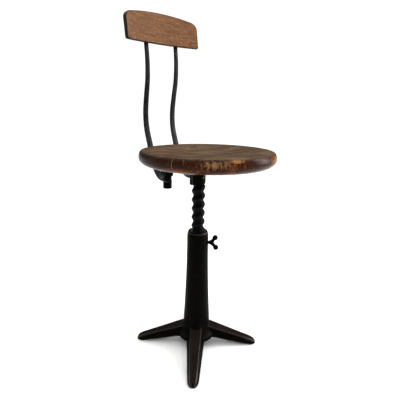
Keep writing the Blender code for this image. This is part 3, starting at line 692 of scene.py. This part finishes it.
rise = np.clip((ring_z - seat_under) / (seat_top - seat_under), 0, 1)
waist = np.exp(-((rise - 0.66) / 0.26) ** 2) * (1 - is_top)
low_rim = np.clip((0.55 - rise) / 0.2, 0, 1) * (ring_out > seat_radius - 0.034)
bare_at = round_the_rim(((-122, 15, 1.0), (-20, 12, 0.6), (62, 16, 0.7), (152, 9, 0.5)))
warm_low = round_the_rim(((-142, 24, 0.9), (-110, 12, 0.4), (20, 30, 0.7), (100, 25, 0.6)))
warm_all = round_the_rim(((-60, 14, 1.0), (-108, 10, 0.7), (75, 18, 0.7), (130, 14, 0.5)))
# the strongest spots, on the right front, are painted highlight along the top edge as well as chipped
# varnish
chips_and_highlight_at = round_the_rim(((-107, 12, 1.3), (-62, 14, 0.55), (-160, 22, 0.25), (40, 40, 0.8),
                         (140, 20, 0.7)))
# the spots at -188 and -150 degrees, on the side away from the window, are painted shade; the others are
# dark varnish
dark_varnish_and_shade_at = round_the_rim(((-188, 22, 0.95), (-150, 10, 0.35), (5, 18, 0.6), (110, 12, 0.5)))
for name, values in (("top", is_top), ("edge", is_edge * chips_and_highlight_at), ("bare", bare_at * waist),
                     ("warm", np.maximum(warm_low * low_rim, warm_all * (1 - is_top))),
                     ("black", dark_varnish_and_shade_at * (1 - is_top))):
    mark(seat, name, np.append(values, [values[0], values[-1]]))

# ------------------------------------------------------------------ the seat bracket
# An iron casting screwed under the seat: a hub that turns on the spindle's pin, a crossed flange,
# and two arms that end in lugs for the back bars.  Black paint, soft cast edges.
bracket_copy = nodes["seat_bracket"].data
bracket_points = np.zeros(len(bracket_copy.vertices) * 3)
bracket_copy.vertices.foreach_get("co", bracket_points)
bracket_points = bracket_points.reshape(-1, 3)
_, first, back = np.unique(np.round(bracket_points, 6), axis=0, return_index=True, return_inverse=True)
back = np.asarray(back).ravel()
bracket_faces = [tuple(int(back[c]) for c in p.vertices) for p in bracket_copy.polygons]
bracket_faces = [f for f in bracket_faces if len(set(f)) == 3]
new_piece("cast_seat_bracket", cast_skin((bracket_points[first], bracket_faces), 0.0009, 6),
          bracket_iron, "seat", "bracket_iron", "seat_bracket")

# ------------------------------------------------------------------ the bar clamps
# A thick round-headed bolt screws up into each lug and clamps the bar by its slot; turned steel,
# painted black with the bracket.
for side_name in ("right", "left"):
    low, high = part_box(f"clamp_bolt_{side_name}")
    cx, cy = (low.x + high.x) / 2, (low.y + high.y) / 2
    seat_of_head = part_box(f"clamp_washer_{side_name}")[0].z - 0.0003
    head = (high.x - low.x) / 2
    t = np.radians(np.linspace(0, 84, 10))
    dome = [(head - 0.0030 + 0.0030 * math.cos(u), low.z + 0.0030 - 0.0030 * math.sin(u)) for u in t]
    profile = [(0.0036, high.z), (0.0040, high.z - 0.0006), (0.0040, seat_of_head),
               (head - 0.0006, seat_of_head), (head, seat_of_head - 0.0006)] + dome
    bolt = new_piece(f"round_clamp_bolt_{side_name}",
                     closed_loft(turned(profile, 48, cx, cy)), bracket_iron,
                     "clamp_r" if side_name == "right" else "clamp_l", "bracket_iron",
                     f"clamp_bolt_{side_name}")
    bolt.data.set_sharp_from_angle(angle=math.radians(40))
    nodes[f"clamp_washer_{side_name}"].material_slots[0].material = bracket_iron

# ------------------------------------------------------------------ the back bars
# Two flat steel bars, tapering upwards and bent in a lazy S, with a slot in the level run.
bar_half_gap = (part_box("clamp_bolt_left")[0].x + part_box("clamp_bolt_left")[1].x) / 2
bar_splay = 0.0082
bar_thick = 0.005
bar_width_low = 0.0193
bar_width_top = 0.0126
taper_low = 0.58                # the bars narrow between these heights
taper_high = 0.87
bar_run_height = 0.5095
slot_front = 0.1262             # middles of the slot's round ends, behind the seat's middle
slot_rear = 0.1415
slot_half = 0.0043
bar_path = (    # behind the seat's middle, height
    (0.1195, bar_run_height), (0.136, bar_run_height), (0.1545, 0.5097), (0.171, 0.5135), (0.187, 0.5235),
    (0.2055, 0.5430), (0.2215, 0.5740), (0.2385, 0.6106), (0.2560, 0.6573), (0.2590, 0.7039),
    (0.2503, 0.7506), (0.2392, 0.7973), (0.2365, 0.8439), (0.2407, 0.8906), (0.2484, 0.9350),
    (0.2549, 0.9720))


def smooth_line(points, steps):
    """A Catmull-Rom curve: each stretch is a cubic set by its two ends and the points beyond them."""
    p = np.asarray([points[0], *points, points[-1]], float)
    t = np.linspace(0, 1, steps, endpoint=False)[:, None]
    a, b, c, d = (p[k:len(p) - 3 + k][:, None, :] for k in range(4))
    line = 0.5 * (2 * b + (c - a) * t + (2 * a - 5 * b + 4 * c - d) * t ** 2
                  + (3 * b - a - 3 * c + d) * t ** 3)
    return np.concatenate([line.reshape(-1, p.shape[1]), p[-1:]])


def bar_skin(side):
    """A rounded flat section carried along the bent line; its width shrinks from seat to backrest."""
    line = smooth_line(bar_path, 14)
    way = np.gradient(line, axis=0)
    way /= np.linalg.norm(way, axis=1)[:, None]
    normal = np.stack([-way[:, 1], way[:, 0]], 1)
    share = np.clip((line[:, 1] - taper_low) / (taper_high - taper_low), 0, 1)
    half = (bar_width_low + (bar_width_top - bar_width_low) * share) / 2
    x = side * (bar_half_gap + bar_splay * np.maximum(0, line[:, 1] - seat_top))
    q = np.radians(np.linspace(0, 90, 4))
    corner = np.stack([np.cos(q), np.sin(q)], 1)
    radius = 0.0010
    rings = []
    for sx, sz, order in ((1, 1, 1), (-1, 1, -1), (-1, -1, 1), (1, -1, -1)):
        arc = corner[::order]
        w = sx * (half[:, None] - radius + radius * arc[None, :, 0])
        h = sz * (bar_thick / 2 - radius + radius * arc[None, :, 1]) + 0 * w
        rings.append(np.stack([x[:, None] + w, seat_y + line[:, :1] + normal[:, :1] * h,
                               line[:, 1:] + normal[:, 1:] * h], 2))
    return closed_loft(np.concatenate(rings, 1))


def make_bar_steel():
    """Hot-rolled steel strip, once blacked, worn grey on its faces.

    The eye sees a blue-grey satin streaked along the bar, with brown specks.
    """
    material, tree, shader, place = new_material("worn_strip_steel")
    long = add(tree, "ShaderNodeMapping", {"Vector": place, "Scale": (1.0, 1.0, 0.06)})
    streak = add(tree, "ShaderNodeTexNoise", {"Vector": long.outputs[0], "Scale": 700.0, "Detail": 4.0})
    cloud = add(tree, "ShaderNodeTexNoise", {"Vector": place, "Scale": 60.0, "Detail": 5.0})
    colour = mixed(tree, spread(tree, cloud.outputs["Fac"], 0.40, 0.62), srgb("#1c1d1f"),
                   srgb("#111112"))
    colour = mixed(tree, spread(tree, streak.outputs["Fac"], 0.50, 0.75), colour, srgb("#29292b"))
    colour = mixed(tree, spread(tree, cloud.outputs["Fac"], 0.62, 0.74), colour, srgb("#17110d"))
    tree.links.new(colour, shader.inputs["Base Color"])
    rough = spread(tree, streak.outputs["Fac"], 0.3, 0.7, 0.34, 0.46)
    tree.links.new(rough, shader.inputs["Roughness"])
    shader.inputs["Metallic"].default_value = 0.85
    bump = add(tree, "ShaderNodeBump", {"Strength": 0.25, "Distance": 0.0003,
                                        "Height": streak.outputs["Fac"]})
    tree.links.new(bump.outputs["Normal"], shader.inputs["Normal"])
    return material


bar_steel = make_bar_steel()
slot_middle = (slot_front + slot_rear) / 2
slot_half_long = (slot_rear - slot_front) / 2
for side_name, side in (("right", -1), ("left", 1)):
    bar = new_piece(f"back_bar_{side_name}", bar_skin(side), bar_steel, "backrest", "bar_steel",
                    f"bar_{side_name}")
    a = np.linspace(0, 2 * math.pi, 40, endpoint=False)
    outline = np.stack([side * bar_half_gap + slot_half * np.cos(a),
                        seat_y + slot_middle + slot_half * np.sin(a) + slot_half_long
                        * np.sign(np.sin(a) + 1e-9)], 1)
    cutter_rings = [np.column_stack([outline, np.full(40, z)])
                    for z in (bar_run_height - 0.02, bar_run_height + 0.02)]
    drill(bar, closed_loft(cutter_rings))
    bar.data.set_sharp_from_angle(angle=math.radians(40))

# ------------------------------------------------------------------ the backrest
# Bent plywood, nine thin layers, with a crowned top and rounded corners, screwed to the bars.  Its
# brown varnish is worn and mottled, and the edges are dark, with painted shade on the left and bottom
# edges.
board_low = 0.8938
board_height = 0.0854
board_half = 0.1179
board_bend = 0.4926
board_crown = 0.0148
board_thick = 0.012
board_face = 0.2281
board_lean = 0.175
corner_top = 0.018
corner_low = 0.006


def board_outline():
    """Round corners, joined by straight runs, as (along, up); then the top is bowed down at its ends."""
    points = []
    corners = ((1, 1, corner_top, 0), (-1, 1, corner_top, 90), (-1, 0, corner_low, 180),
               (1, 0, corner_low, 270))
    for k, (cx, cy, radius, start) in enumerate(corners):
        a = np.radians(start + np.linspace(0, 90, 9))
        middle = np.array([cx * (board_half - radius), board_height - radius if cy else radius])
        arc = middle + radius * np.stack([np.cos(a), np.sin(a)], 1)
        nx, ny, next_radius, next_start = corners[(k + 1) % 4]
        b = math.radians(next_start)
        goal = np.array([nx * (board_half - next_radius) + next_radius * math.cos(b),
                         (board_height - next_radius if ny else next_radius)
                         + next_radius * math.sin(b)])
        steps = 44 if start in (0, 180) else 14
        t = np.linspace(0, 1, steps + 1)[1:-1, None]
        points += [arc, arc[-1] + (goal - arc[-1]) * t]
    flat = np.concatenate(points)
    flat[:, 1] *= 1 - board_crown / board_height * (flat[:, 0] / board_half) ** 2
    return flat


def backrest_rings():
    """The outline shrunk towards its middle in steps, wrapped on a cylinder and leaned back."""
    flat = board_outline()
    edge = 0.0026
    q = np.radians(np.linspace(0, 90, 6))
    steps = [(s, 0.0, 0.0) for s in (*np.linspace(0.02, 0.92, 12), 0.965)]
    # painted shade: the left and bottom edges get the full dark end-grain colour, the others only 0.35 of
    # it
    shaded_side = (flat[:, 0] < -board_half + 0.005) | (flat[:, 1] < 0.003)
    steps += [(1.0, edge * (1 - math.sin(u)), edge * (1 - math.cos(u))) for u in q]
    steps += [(1.0, 0.0, d) for d in np.linspace(edge, board_thick - edge, 6)[1:-1]]
    steps += [(1.0, edge * (1 - math.cos(u)), board_thick - edge * (1 - math.sin(u))) for u in q]
    steps += [(s, 0.0, board_thick) for s in np.linspace(0.92, 0.02, 12)]
    rings, rim = [], []
    for scale, inset, depth in steps:
        up = board_height / 2 + (flat[:, 1] - board_height / 2) * (scale - inset / (board_height / 2))
        lengthwise = flat[:, 0] * (scale - inset / board_half)
        angle = lengthwise / board_bend
        x = (board_bend + depth) * np.sin(angle)
        sag = board_bend * (1 - np.cos(angle))
        y = seat_y + board_face - sag + board_lean * up + depth
        rings.append(np.stack([x, y, board_low + up], 1))
        rim.append(np.where(shaded_side, 1.0, 0.35) if scale == 1.0 else np.zeros(len(flat)))
    return np.array(rings), np.concatenate(rim + [[0, 0]])


def make_plywood():
    """Bent birch plywood under worn brown varnish.

    Grain runs lengthwise in 5 mm streaks; the eye sees a mottled pinkish brown with small dents and
    scuffs, and dark edges made of layers 1.3 mm thick, fully dark on the left and bottom edges, which
    is painted shade.
    """
    material, tree, shader, place = new_material("varnished_birch_plywood")
    long = add(tree, "ShaderNodeMapping", {"Vector": place, "Scale": (0.10, 1.0, 1.0)})
    grain = add(tree, "ShaderNodeTexNoise", {"Vector": long.outputs[0], "Scale": 180.0, "Detail": 5.0,
                                             "Roughness": 0.6})
    cloud = add(tree, "ShaderNodeTexNoise", {"Vector": place, "Scale": 34.0, "Detail": 6.0,
                                             "Roughness": 0.65})
    dents = add(tree, "ShaderNodeTexNoise", {"Vector": place, "Scale": 210.0, "Detail": 3.0})
    rim = add(tree, "ShaderNodeAttribute", attribute_name="rim").outputs["Fac"]
    colour = mixed(tree, spread(tree, grain.outputs["Fac"], 0.34, 0.66), srgb("#5b3a20"),
                   srgb("#745032"))
    colour = mixed(tree, spread(tree, cloud.outputs["Fac"], 0.44, 0.66), colour, srgb("#6b432a"))
    light = spread(tree, dents.outputs["Fac"], 0.58, 0.70, 0.0, 0.55)
    colour = mixed(tree, light, colour, srgb("#977353"))
    deep = spread(tree, dents.outputs["Fac"], 0.36, 0.28, 0.0, 0.6)
    colour = mixed(tree, deep, colour, srgb("#3c2718"))
    layers = add(tree, "ShaderNodeTexWave", {"Vector": place, "Scale": 120.0, "Distortion": 0.3},
                 bands_direction="Y")
    edge_wood = mixed(tree, layers.outputs["Fac"], srgb("#0b0705"), srgb("#1e140d"))
    # dark end grain on the edges; its full strength on the left and bottom edges is painted shade
    colour = mixed(tree, rim, colour, edge_wood)
    tree.links.new(colour, shader.inputs["Base Color"])
    rough = spread(tree, cloud.outputs["Fac"], 0.3, 0.7, 0.42, 0.60)
    tree.links.new(rough, shader.inputs["Roughness"])
    shader.inputs["Specular IOR Level"].default_value = 0.14
    height = add(tree, "ShaderNodeMath", {0: dents.outputs["Fac"], 1: 0.6, 2: grain.outputs["Fac"]},
                 operation="MULTIPLY_ADD")
    bump = add(tree, "ShaderNodeBump", {"Strength": 0.3, "Distance": 0.0005,
                                        "Height": height.outputs[0]})
    tree.links.new(bump.outputs["Normal"], shader.inputs["Normal"])
    return material


board_rings, dark_edge_and_shade = backrest_rings()
backrest = new_piece("bent_plywood_backrest", closed_loft(board_rings), make_plywood(), "backrest",
                     "plywood", "backrest_board")
mark(backrest, "rim", dark_edge_and_shade)

# ------------------------------------------------------------------ floor and light
# A pale painted studio floor under an even white ceiling, with dark walls, so that the black iron
# keeps its depth; a tall window to the right makes the long highlights, a weak one to the left.
floor_mesh = bpy.data.meshes.new("floor")
reach = 45.0
floor_mesh.from_pydata([(-reach, -reach, 0), (reach, -reach, 0), (reach, reach, 0), (-reach, reach, 0)],
                       [], [(0, 1, 2, 3)])
floor = bpy.data.objects.new("floor", floor_mesh)
bpy.context.collection.objects.link(floor)
floor_paint, floor_tree, floor_shader, floor_place = new_material("pale_floor_paint")
mottle = add(floor_tree, "ShaderNodeTexNoise", {"Vector": floor_place, "Scale": 3.0, "Detail": 3.0})
floor_tree.links.new(mixed(floor_tree, mottle.outputs["Fac"], srgb("#fcfcfb"), srgb("#f8f8f7")),
                     floor_shader.inputs["Base Color"])
floor_shader.inputs["Roughness"].default_value = 0.9
floor_shader.inputs["Specular IOR Level"].default_value = 0.1
floor_mesh.materials.append(floor_paint)

world = bpy.data.worlds.new("studio")
world.use_nodes = True
sky = world.node_tree
backdrop = sky.nodes["Background"]
way_up = add(sky, "ShaderNodeSeparateXYZ", {0: add(sky, "ShaderNodeTexCoord").outputs["Generated"]})
ceiling = spread(sky, way_up.outputs["Z"], 0.35, 0.75, 0.12, 1.75)
seen = add(sky, "ShaderNodeLightPath").outputs["Is Camera Ray"]
strength = add(sky, "ShaderNodeMix", {0: seen, 2: ceiling, 3: 1.1}, data_type="FLOAT")
sky.links.new(strength.outputs[0], backdrop.inputs["Strength"])
backdrop.inputs["Color"].default_value = srgb("#ffffff")
bpy.context.scene.world = world


def window(name, out, turn_from_view, height, wide, tall, power):
    """A soft rectangular light facing the seat: out from the column, turned from the eye's direction."""
    data = bpy.data.lights.new(name, "AREA")
    data.shape = "RECTANGLE"
    data.size = wide
    data.size_y = tall
    data.energy = power
    lamp = bpy.data.objects.new(name, data)
    a = eye_turn - math.pi / 2 + math.radians(turn_from_view)
    lamp.location = (axis_x + out * math.cos(a), axis_y + out * math.sin(a), height)
    aim = Vector((0, 0, 0.60)) - lamp.location
    lamp.rotation_euler = aim.to_track_quat("-Z", "Y").to_euler()
    lamp.visible_camera = False
    bpy.context.collection.objects.link(lamp)


window("right_window", 1.7, 96, 1.15, 0.8, 1.3, 36)
window("left_window", 1.9, -100, 1.0, 0.5, 1.3, 2)
window("front_light", 2.0, 25, 2.1, 1.0, 1.0, 9)
